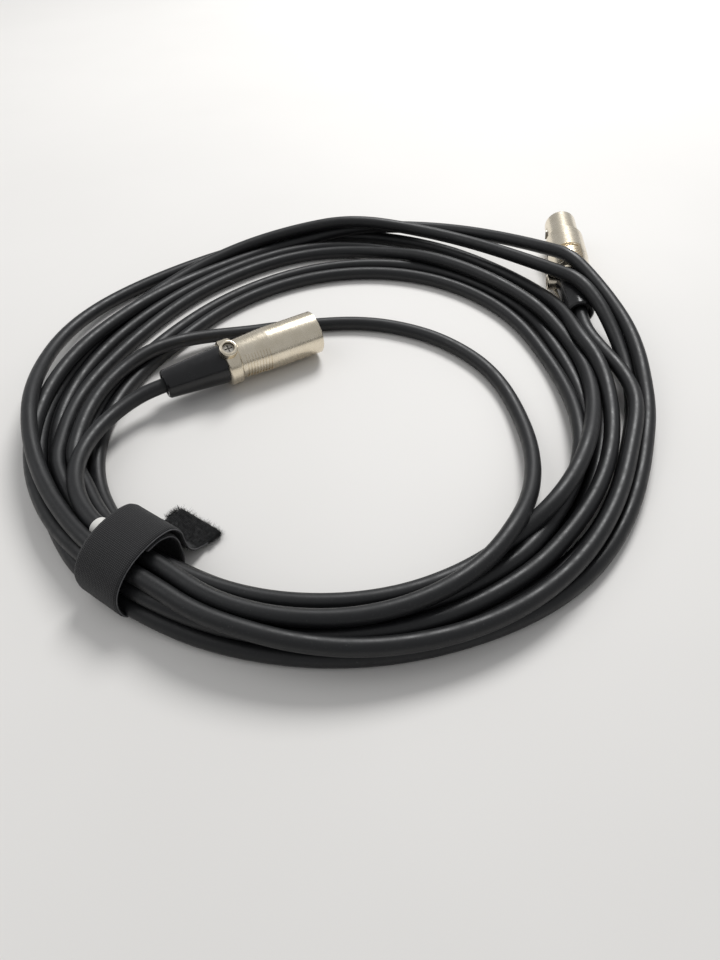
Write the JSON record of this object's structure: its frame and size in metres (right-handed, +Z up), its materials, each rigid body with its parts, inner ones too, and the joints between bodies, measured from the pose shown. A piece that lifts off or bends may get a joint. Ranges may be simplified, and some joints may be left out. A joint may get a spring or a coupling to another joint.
{
  "type": "xlr cable coil",
  "caption": "Microphone cable wound into a loose round coil, with a male and a female three-pin connector on its ends, held by a black hook-and-loop tie.",
  "frame": {"origin": "bottom centre of the bounding box of the coil as it lies on a table", "axes": "+Z up from the table, +Y away from the viewer who has the tie at the near left, +X to that viewer's right"},
  "size_m": [0.2658, 0.2732, 0.023],
  "materials": {
    "satin_nickel": "satin nickel plate, warm tone",
    "screw_steel": "plain",
    "latch_steel": "satin",
    "spring_steel": "plain",
    "contact_metal": "silver plate",
    "insulator": "moulded",
    "boot_rubber": "smooth, semi gloss",
    "cable_jacket": "satin PVC jacket",
    "core_insulation": "plain",
    "seal_rubber": "matte",
    "tie_fabric": "woven hook-and-loop tape",
    "marker_white": "matte sleeve"
  },
  "bodies": {
    "cable": {"tie_band": "tie_fabric", "tie_free_end": "tie_fabric", "male_shell": "satin_nickel", "male_insert_screw": "screw_steel", "male_pin_1": "contact_metal", "male_pin_2": "contact_metal", "male_pin_3": "contact_metal", "male_insert": "insulator", "male_conductors": "core_insulation", "male_clamp_ring": "satin_nickel", "male_clamp_seat": "insulator", "male_clamp_shoe": "insulator", "male_clamp_screw": "screw_steel", "male_boot": "boot_rubber", "female_latch_pin": "screw_steel", "female_latch_spring": "spring_steel", "female_shell": "satin_nickel", "female_insert_screw": "screw_steel", "female_contact_1": "contact_metal", "female_contact_2": "contact_metal", "female_contact_3": "contact_metal", "female_insert": "insulator", "female_seal_ring": "seal_rubber", "female_conductors": "core_insulation", "female_clamp_ring": "satin_nickel", "female_clamp_seat": "insulator", "female_clamp_shoe": "insulator", "female_clamp_screw": "screw_steel", "female_boot": "boot_rubber", "cable_male_tail": "cable_jacket", "cable_female_tail": "cable_jacket", "cable_inner_turn": "cable_jacket", "cable_coil": "cable_jacket", "marker_sleeve": "marker_white"},
    "latch": {"female_latch_lever": "latch_steel"}
  },
  "joints": [
    {"name": "latch_press", "type": "hinge", "parent": "cable", "child": "latch", "pos_m": [0.11542, 0.09028, 0.00988], "axis": [0.0866, -0.0099, -0.9962], "range_deg": [0, 4.5], "stiffness_Nm_per_rad": 0.05, "springref_deg": -5.73, "deforming": ["female_latch_spring"]}
  ]
}
